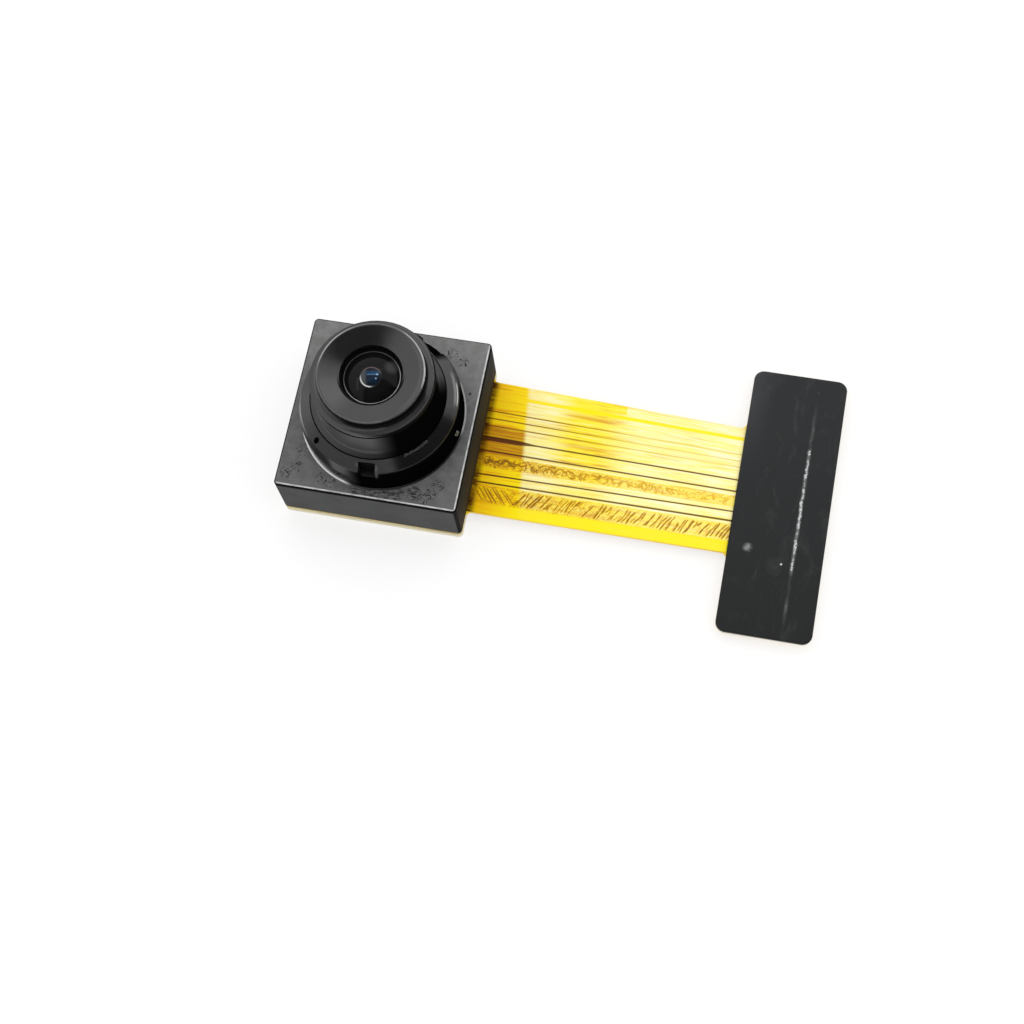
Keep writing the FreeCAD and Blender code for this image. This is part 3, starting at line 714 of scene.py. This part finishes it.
def back_film_material():
    """The contact side of the flex: traces that show through the film."""
    material, tree, shader = new_material("polyimide_back")
    at = place(tree)[0]
    lane = node(tree, "Attribute", attribute_name="lane").outputs["Fac"]
    streak = noise(tree, stretch(tree, at, 0.2, 3.0, 1.0), 1.4, 4.0)
    trace = times(tree, remap(tree, calc(tree, "PINGPONG", lane, 0.5), 0.27, 0.22),
                  calc(tree, "GREATER_THAN", lane, -0.3), calc(tree, "LESS_THAN", lane, CONTACT_COUNT - 0.7))
    film = blend_colour(tree, streak, (0.92, 0.55, 0.004), (0.80, 0.42, 0.002))
    copper = blend_colour(tree, streak, (0.72, 0.33, 0.03), (0.55, 0.23, 0.02))
    surface(tree, shader, blend_colour(tree, trace, film, copper), streak, 0.22, 0.32)
    bump(tree, shader, streak, 0.15, 0.006)
    return material


def laminate_material():
    """Pale glass cloth laminate."""
    material, tree, shader = new_material("epoxy_glass")
    at, x, y, z = place(tree)
    weave_pitch, ply = 0.35, 0.1
    warp = calc(tree, "SINE", times(tree, x, 2 * math.pi / weave_pitch))
    weft = calc(tree, "SINE", times(tree, y, 2 * math.pi / weave_pitch))
    cloth = remap(tree, times(tree, warp, weft), -1.0, 1.0)
    layers = calc(tree, "SINE", times(tree, z, 2 * math.pi / ply))
    mottled = noise(tree, at, 1.1, 4.0)
    weave = plus(tree, times(tree, cloth, 0.2), times(tree, mottled, 0.8))
    base = paint(tree, (0.70, 0.60, 0.33), (weave, (0.82, 0.74, 0.48)),
                 (remap(tree, layers, 0.2, 1.0, 0.0, 0.35), (0.50, 0.36, 0.13)),
                 (remap(tree, z, 0.22, 0.12), (0.78, 0.72, 0.55)))
    surface(tree, shader, base, mottled, 0.38, 0.55)
    bump(tree, shader, cloth, 0.12, 0.004)
    return material


# Metals, ceramic and silicon

def metal_material(name, low, high, rough):
    """Metal with faint wear."""
    material, tree, shader = new_material(name)
    wear = noise(tree, place(tree)[0], 5.0, 4.0, 0.65)
    surface(tree, shader, blend_colour(tree, wear, low, high), wear, rough - 0.07, rough + 0.1)
    shader.inputs["Metallic"].default_value = 1.0
    bump(tree, shader, wear, 0.2, 0.004)
    return material


def matte_material(name, low, high, rough, scale=6.0):
    """Something dull with a fine grain."""
    material, tree, shader = new_material(name)
    grain = noise(tree, place(tree)[0], scale, 4.0)
    surface(tree, shader, blend_colour(tree, grain, low, high), grain, rough - 0.05, rough + 0.08)
    bump(tree, shader, grain, 0.25, 0.006)
    return material


barrel_plastic = barrel_material()
dress(["lens_holder"], holder_material())
dress_collar(collar_material())
dress(["lens_barrel"], barrel_plastic)
dress(["front_bezel"], bezel_material())
dress(["front_spacer", "aperture_stop", "rear_spacer", "lens_retainer"], inner_black_material())
dress(["tail_stiffener"], stiffener_material())
dress(["front_element"], front_glass_material())
dress(["second_element"], second_glass_material())
dress(["third_element", "rear_element"], clear_material("lens_glass_inner", (0.78, 0.88, 0.97), 2.5)[0])
dress(["infrared_filter"], clear_material("filter_glass", (0.72, 0.93, 0.90), 1.0)[0])
dress(["sensor_cover_glass"], clear_material("cover_glass", (0.95, 0.98, 0.97), 1.0)[0])
dress(["thread_glue"], glue_material())
dress(["coverlay_front", "base_film", "coverlay_back"], amber_material())
dress(["back_plate"], laminate_material())
copper = metal_material("copper", (0.86, 0.46, 0.28), (0.70, 0.33, 0.18), 0.32)
dress(["ground_copper", "signal_traces", "component_pads"], copper)
dress(["contact_fingers"], metal_material("gold_plate", (1.0, 0.72, 0.30), (0.92, 0.60, 0.22), 0.24))
dress(["solder_balls"], metal_material("solder", (0.72, 0.73, 0.74), (0.60, 0.61, 0.63), 0.35))
dress(["capacitor_terminals"], metal_material("tin_plate", (0.74, 0.74, 0.73), (0.62, 0.62, 0.61), 0.35))
dress(["capacitor_bodies"], matte_material("capacitor_ceramic", (0.42, 0.30, 0.18), (0.50, 0.37, 0.24), 0.5))
dress(["holder_adhesive", "sensor_dam"], matte_material("bond_glue", 0.05, (0.09, 0.09, 0.085), 0.45))
dress(["sensor_die"], matte_material("silicon", (0.10, 0.10, 0.13), (0.16, 0.13, 0.18), 0.2, 9.0))


# Detail pieces

def down_neck(x):
    """Share of the neck's length, from 0 at the head to 1 at the tail."""
    return (x - NECK_START) / (NECK_END - NECK_START)


def neck_y(share, x):
    """Place across the neck, from its near edge at 0 to its far edge at 1."""
    far = NECK_FAR_HEAD + down_neck(x) * (NECK_FAR_TAIL - NECK_FAR_HEAD)
    return NECK_NEAR + share * (far - NECK_NEAR)


def mesh_piece(name, points, faces, material, smooth=True):
    """Piece that rides on the part, through points in millimetres."""
    mesh = bpy.data.meshes.new(name)
    mesh.from_pydata((np.asarray(points) * MM).tolist(), [], faces)
    mesh.polygons.foreach_set("use_smooth", [smooth] * len(mesh.polygons))
    mesh.materials.append(material)
    piece = add_object(name, mesh)
    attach(piece, "root")
    return mesh


def sheet_piece(name, xs, ys, zs, skirt, values, material):
    """Relief over a grid of places, with a skirt down to a level round its border."""
    columns, rows = ys.shape
    grid = np.stack([np.broadcast_to(xs[:, None], ys.shape), ys, zs], axis=-1).reshape(-1, 3)
    index = np.arange(columns * rows).reshape(columns, rows)
    border = np.concatenate([index[:, 0], index[-1, 1:], index[-2::-1, -1], index[0, -2:0:-1]])
    low = grid[border].copy()
    low[:, 2] = skirt
    faces = np.stack([index[:-1, :-1], index[1:, :-1], index[1:, 1:], index[:-1, 1:]], axis=-1).reshape(-1, 4)
    under = columns * rows + np.arange(len(border))
    sides = np.stack([border, under, np.roll(under, -1), np.roll(border, -1)], axis=-1)
    faces = np.concatenate([faces, sides])
    if skirt > zs.mean():
        faces = faces[:, ::-1]
    mesh = mesh_piece(name, np.concatenate([grid, low]), faces.tolist(), material)
    for key, field in values.items():
        attribute = mesh.attributes.new(key, "FLOAT", "POINT")
        flat = np.asarray(field, float).reshape(-1)
        attribute.data.foreach_set("value", np.concatenate([flat, flat[border]]))


def smooth_step(value, low, high):
    t = np.clip((value - low) / (high - low), 0.0, 1.0)
    return t * t * (3 - 2 * t)


def draw_strokes(xs, ys, strokes):
    """Field of pen strokes (x0, y0, x1, y1, width, strength) over the grid."""
    field = np.zeros(ys.shape)
    for x0, y0, x1, y1, width, strength in strokes:
        picked = (xs > min(x0, x1) - 3 * width) & (xs < max(x0, x1) + 3 * width)
        if not picked.any():
            continue
        px = xs[picked][:, None]
        py = ys[picked]
        dx, dy = x1 - x0, y1 - y0
        t = np.clip(((px - x0) * dx + (py - y0) * dy) / (dx * dx + dy * dy), 0.0, 1.0)
        apart = np.hypot(px - x0 - t * dx, py - y0 - t * dy)
        taper = 0.55 + 0.45 * np.sin(math.pi * np.clip(t, 0.05, 0.95))
        field[picked] = np.maximum(field[picked], strength * np.exp(-(apart / (width * taper)) ** 2))
    return field


def lane_y(lane, x):
    """Place across the neck of a feature that runs from the head to the tail."""
    along = down_neck(x)
    centres = [head + along * (tail - head) for head, tail in zip(LANES_HEAD, LANES_TAIL)]
    return neck_y(np.interp(lane, LANES_HEAD, centres), x)


def near_band_strokes():
    """Slanted strokes of the near band, leaning to the head at first and then to the tail."""
    strokes = []
    margin, turning = 0.05, 1.7
    x = NECK_START + margin
    while x < NECK_END - margin:
        travelled = x - NECK_START
        low = NEAR_BAND[0] + random.uniform(0.0, 0.02)
        high = NEAR_BAND[1] - random.uniform(0.0, 0.02)
        width = random.uniform(0.024, 0.038)
        if travelled < turning:
            start = x + 0.55
            strokes.append((start, lane_y(low, start), x, lane_y(high, x), width, random.uniform(0.7, 1.0)))
            x += random.uniform(0.16, 0.30)
            continue
        bold = random.random() < 0.45
        strength = random.uniform(0.7, 1.0) if bold else random.uniform(0.35, 0.65)
        lean = random.uniform(0.26, 0.46)
        if not bold or random.random() < 0.25:
            middle = random.uniform(0.13, 0.165)
            low, high = (low, middle) if random.random() < 0.45 else (middle, high)
            lean *= 0.5
        bend = random.uniform(-0.05, 0.05)
        ends = [(x, lane_y(low, x)), (x + lean, lane_y(high, x + lean))]
        middle_x = (ends[0][0] + ends[1][0]) / 2 + bend
        middle_y = (ends[0][1] + ends[1][1]) / 2
        thick = width * (1.3 if bold else 0.85)
        strokes.append((*ends[0], middle_x, middle_y, thick * random.uniform(0.7, 1.1), strength))
        strokes.append((middle_x, middle_y, *ends[1], thick, strength * random.uniform(0.8, 1.0)))
        x += random.uniform(0.09, 0.19) if bold else random.uniform(0.03, 0.08)
    return strokes


def far_band_strokes():
    """Loops scribbled along the far band, dense and dark at the head and fading to the tail."""
    strokes = []
    for start, gap in ((0.12, 0.20), (0.20, 0.24)):
        x = NECK_START + start
        while x < NECK_END - 0.15:
            travelled = down_neck(x)
            strength = 1.0 if travelled < 0.12 else max(0.45, 1.05 - 0.62 * travelled)
            strength *= random.uniform(0.7, 1.0)
            width = random.uniform(0.028, 0.046)
            centre_y = lane_y(random.uniform(0.378, 0.412), x)
            wide, tall = random.uniform(0.10, 0.20), random.uniform(0.10, 0.19)
            begin = random.uniform(0.0, 2 * math.pi)
            turn = random.choice([-1, 1]) * random.uniform(0.65, 0.9)
            points = []
            for i in range(random.choice([4, 5, 6])):
                angle = begin + turn * i
                reach_y = centre_y + tall * math.sin(angle)
                reach_y = min(max(reach_y, lane_y(FAR_BAND[0], x)), lane_y(FAR_BAND[1], x))
                points.append((x + wide * math.cos(angle) + 0.05 * i, reach_y))
            for first, second in zip(points, points[1:]):
                strokes.append((*first, *second, width, strength * random.uniform(0.6, 1.0)))
            x += gap * random.uniform(0.5, 1.1) * (0.55 if travelled < 0.13 else 1.0)
    return strokes


def front_film():
    """Relief of the copper strips and the pen strokes on the lens side of the neck."""
    columns, rows = 400, 220
    xs = np.linspace(NECK_START, NECK_END, columns)
    lanes = np.linspace(0.0, 1.0, rows)
    ys = np.array([lane_y(lanes, x) for x in xs])
    lane = np.broadcast_to(lanes, ys.shape)
    raised = np.ones(ys.shape)
    for centre in DARK_GAPS + THIN_GAPS:
        raised *= smooth_step(np.abs(lane - centre), 0.003, 0.010)
    raised *= smooth_step(lane, 0.075, 0.09)
    stroke = draw_strokes(xs, ys, near_band_strokes() + far_band_strokes())
    heights = FLEX_TOP + 2 * OVERLAP + RELIEF * (raised + 1.0 - stroke)
    values = {"lane": lane, "stroke": stroke}
    sheet_piece("flex_front_relief", xs, ys, heights, FLEX_TOP - OVERLAP, values,
                front_film_material())


def back_film():
    """Relief of the traces under the back film, down the neck and out to the contacts."""
    film = back_film_material()
    first, last = 0.04, 0.96
    rows = 9 * CONTACT_COUNT

    def relief(name, xs, lows, highs, lanes):
        ys = np.array([np.linspace(low, high, rows) for low, high in zip(lows, highs)])
        lane = np.array([(row - origin) / pitch for row, (origin, pitch) in zip(ys, lanes)])
        offset = np.abs(lane - np.round(lane))
        inside = (lane > -0.5) & (lane < CONTACT_COUNT - 0.5)
        trace = smooth_step(offset, 0.30, 0.2) * inside
        heights = FLEX_BOTTOM - OVERLAP - RELIEF * trace
        sheet_piece(name, xs, ys, heights, FLEX_BOTTOM + OVERLAP, {"lane": lane}, film)

    def neck_lane(x):
        origin = neck_y(first, x)
        return origin, (neck_y(last, x) - origin) / (CONTACT_COUNT - 1)

    xs = np.linspace(NECK_START, NECK_END, 40)
    relief("flex_back_relief", xs, [neck_y(0.0, x) for x in xs], [neck_y(1.0, x) for x in xs],
           [neck_lane(x) for x in xs])

    xs = np.linspace(NECK_END, CONTACT_START, 24)
    contact_first = TAIL_MIDDLE_Y - (CONTACT_COUNT - 1) / 2 * CONTACT_PITCH
    start, pitch = neck_lane(NECK_END)
    lows, highs, lanes = [], [], []
    for x in xs:
        t = (x - NECK_END) / (CONTACT_START - NECK_END)
        cut = max(0.0, TAIL_CORNER - (x - NECK_END))
        inset = TAIL_CORNER - math.sqrt(max(0.0, TAIL_CORNER ** 2 - cut ** 2))
        lows.append(TAIL_NEAR + inset + 0.01)
        highs.append(TAIL_FAR - inset - 0.01)
        lanes.append((start + t * (contact_first - start), pitch + t * (CONTACT_PITCH - pitch)))
    relief("tail_back_relief", xs, lows, highs, lanes)


def turned_piece(name, profile, material):
    """Closed ring of revolution about the optical axis, through (r, z) points."""
    segments, count = 160, len(profile)
    points, faces = [], []
    for i in range(segments):
        angle = 2 * math.pi * i / segments
        points.extend((r * math.cos(angle), r * math.sin(angle), z) for r, z in profile)
        following = (i + 1) % segments
        for j in range(count):
            k = (j + 1) % count
            faces.append((i * count + j, following * count + j, following * count + k, i * count + k))
    mesh_piece(name, points, faces, material)


def collar_foot():
    """Small moulded fillet where the collar meets the housing."""
    radius, steps = 0.07, 8
    profile = [(COLLAR_RADIUS - 0.005, HOUSING_TOP - 0.005)]
    for i in range(steps + 1):
        angle = math.pi / 2 * i / steps
        out, rise = 1 - math.sin(angle), 1 - math.cos(angle)
        profile.append((COLLAR_RADIUS + radius * out, HOUSING_TOP + radius * rise))
    turned_piece("collar_foot", profile[::-1], foot_material())


def barrel_thread():
    """Fine thread on the barrel's stem, seen through the notches."""
    core, crest, pitch = 2.945, 2.992, 0.25
    low, high = HOUSING_TOP - 0.8, COLLAR_TOP - 0.11
    per_turn, run_out = 72, 18
    steps = int((high - low) / pitch * per_turn)
    points, faces = [], []
    for i in range(steps + 1):
        angle = 2 * math.pi * i / per_turn
        middle = low + pitch * i / per_turn
        top = core + (crest - core) * min(1.0, i / run_out, (steps - i) / run_out)
        for r, dz in [(core, -0.11), (top, -0.03), (top, 0.03), (core, 0.11)]:
            points.append((r * math.cos(angle), r * math.sin(angle), middle + dz))
    for i in range(steps):
        for j in range(3):
            a = i * 4 + j
            faces.append((a, a + 4, a + 5, a + 1))
    mesh_piece("barrel_thread", points, faces, barrel_plastic, smooth=False)


def front_glass_edge():
    """Thin round bead where the front glass meets its seat."""
    radius, level, thickness, steps = 1.21, HOUSING_TOP + 3.735, 0.026, 12
    profile = []
    for i in range(steps):
        angle = 2 * math.pi * i / steps
        profile.append((radius + thickness * math.cos(angle), level - thickness * math.sin(angle)))
    turned_piece("front_glass_edge", profile, glass_edge_material())


def bezel_seam_shade():
    """Dark ring in the gap under the bezel's lip, put there as painted shade."""
    shade_ring_profile = [(2.62, 3.45), (2.62, 3.6), (2.697, 3.6), (2.690, 3.45)]
    turned_piece("bezel_seam_shade", [(r, HOUSING_TOP + z) for r, z in shade_ring_profile], seam_shade_material())


front_film()
back_film()
collar_foot()
barrel_thread()
front_glass_edge()
bezel_seam_shade()


# Floor, light and camera

def floor():
    """White floor, just under the part, that takes soft shadows."""
    mesh = bpy.data.meshes.new("floor")
    reach, low = 1.5, -0.002 * MM
    corners = [(-reach, -reach, low), (reach, -reach, low), (reach, reach, low), (-reach, reach, low)]
    mesh.from_pydata(corners, [], [(0, 1, 2, 3)])
    plane = add_object("floor", mesh)
    material = bpy.data.materials.new("floor")
    tree = empty_tree(material)
    output = tree.nodes.new("ShaderNodeOutputMaterial")
    rays = node(tree, "LightPath").outputs
    seen = most(tree, rays["Is Camera Ray"], rays["Is Glossy Ray"], rays["Is Transmission Ray"])
    white = node(tree, "BsdfDiffuse", {"Color": blend_colour(tree, seen, 0.9, 0.36)})
    glow = node(tree, "Emission", {"Color": 1.0, "Strength": times(tree, seen, 0.64)})
    both = node(tree, "AddShader", {0: white.outputs[0], 1: glow.outputs[0]})
    tree.links.new(both.outputs[0], output.inputs["Surface"])
    mesh.materials.append(material)


def world():
    """Light tent: pale all round, dark round the camera's opening and to the right in front."""
    sky = bpy.data.worlds.new("studio")
    bpy.context.scene.world = sky
    tree = empty_tree(sky)
    output = tree.nodes.new("ShaderNodeOutputWorld")
    direction = node(tree, "TexCoord").outputs["Generated"]

    def towards(axis, low, high):
        facing = node(tree, "VectorMath", {0: direction, 1: axis}, operation="DOT_PRODUCT").outputs["Value"]
        return remap(tree, facing, low, high)

    def dimmed(share, loss):
        return flip(tree, times(tree, share, loss))

    split = node(tree, "SeparateXYZ", {0: direction})
    east, north = split.outputs[0], split.outputs[1]
    across = from_axis(tree, east, north)
    opening = towards((0.2, -0.25, 0.947), 0.80, 0.87)
    shaded = times(tree, toward(tree, east, north, -26.0, 0.70, 0.78), remap(tree, across, 0.3, 0.5))
    front = towards((-0.5, -0.866, 0.0), 0.45, 0.75)
    near_side = towards((0.0, -1.0, 0.0), 0.1, 0.8)
    tent = times(tree, dimmed(opening, 0.9), dimmed(shaded, 0.92), dimmed(front, 0.4), TENT_LEVEL)
    plain = times(tree, dimmed(near_side, 0.3), PLAIN_LEVEL)
    rays = node(tree, "LightPath").outputs
    lit = blend_value(tree, rays["Is Glossy Ray"], plain, tent)
    level = blend_value(tree, rays["Is Camera Ray"], lit, 1.0)
    sky.cycles.sampling_method = "NONE"
    background = node(tree, "Background", {"Color": 1.0, "Strength": level})
    tree.links.new(background.outputs[0], output.inputs["Surface"])


def softbox(name, centre, target, width, height, radiance, turn):
    """Area lamp of a set radiance, in millimetres, aimed at a point."""
    lamp = bpy.data.lights.new(name, "AREA")
    lamp.shape = "RECTANGLE"
    lamp.size, lamp.size_y = width * MM, height * MM
    lamp.energy = radiance * lamp.size * lamp.size_y * math.pi
    holder = add_object(name, lamp)
    centre, target = Vector(centre) * MM, Vector(target) * MM
    aim = (target - centre).to_track_quat("-Z", "Y").to_matrix().to_4x4()
    holder.matrix_world = Matrix.Translation(centre) @ aim @ Matrix.Rotation(math.radians(turn), 4, "Z")


def camera():
    """The photo's own view."""
    azimuth, elevation, roll = (math.radians(angle) for angle in CAMERA_TURN)
    level = math.cos(elevation)
    back = Vector((math.sin(azimuth) * level, -math.cos(azimuth) * level, math.sin(elevation)))
    right = Vector((0, 0, 1)).cross(back).normalized()
    up = back.cross(right)
    turned_right = math.cos(roll) * right - math.sin(roll) * up
    turned_up = math.sin(roll) * right + math.cos(roll) * up
    eye = bpy.data.cameras.new("camera")
    eye.sensor_fit = "HORIZONTAL"
    eye.sensor_width = SENSOR_WIDTH
    eye.lens = CAMERA_LENS
    eye.clip_start = 0.001
    eye.clip_end = 10.0
    holder = add_object("camera", eye)
    turn = Matrix((turned_right, turned_up, back)).transposed().to_4x4()
    holder.matrix_world = Matrix.Translation(Vector(CAMERA_PLACE) * MM) @ turn
    bpy.context.scene.camera = holder


floor()
world()
softbox("softbox_back", (-20, 190, 300), (4, 0, 0), 120, 90, 1.2, 10.0)
camera()
bpy.context.scene.view_settings.view_transform = "Standard"
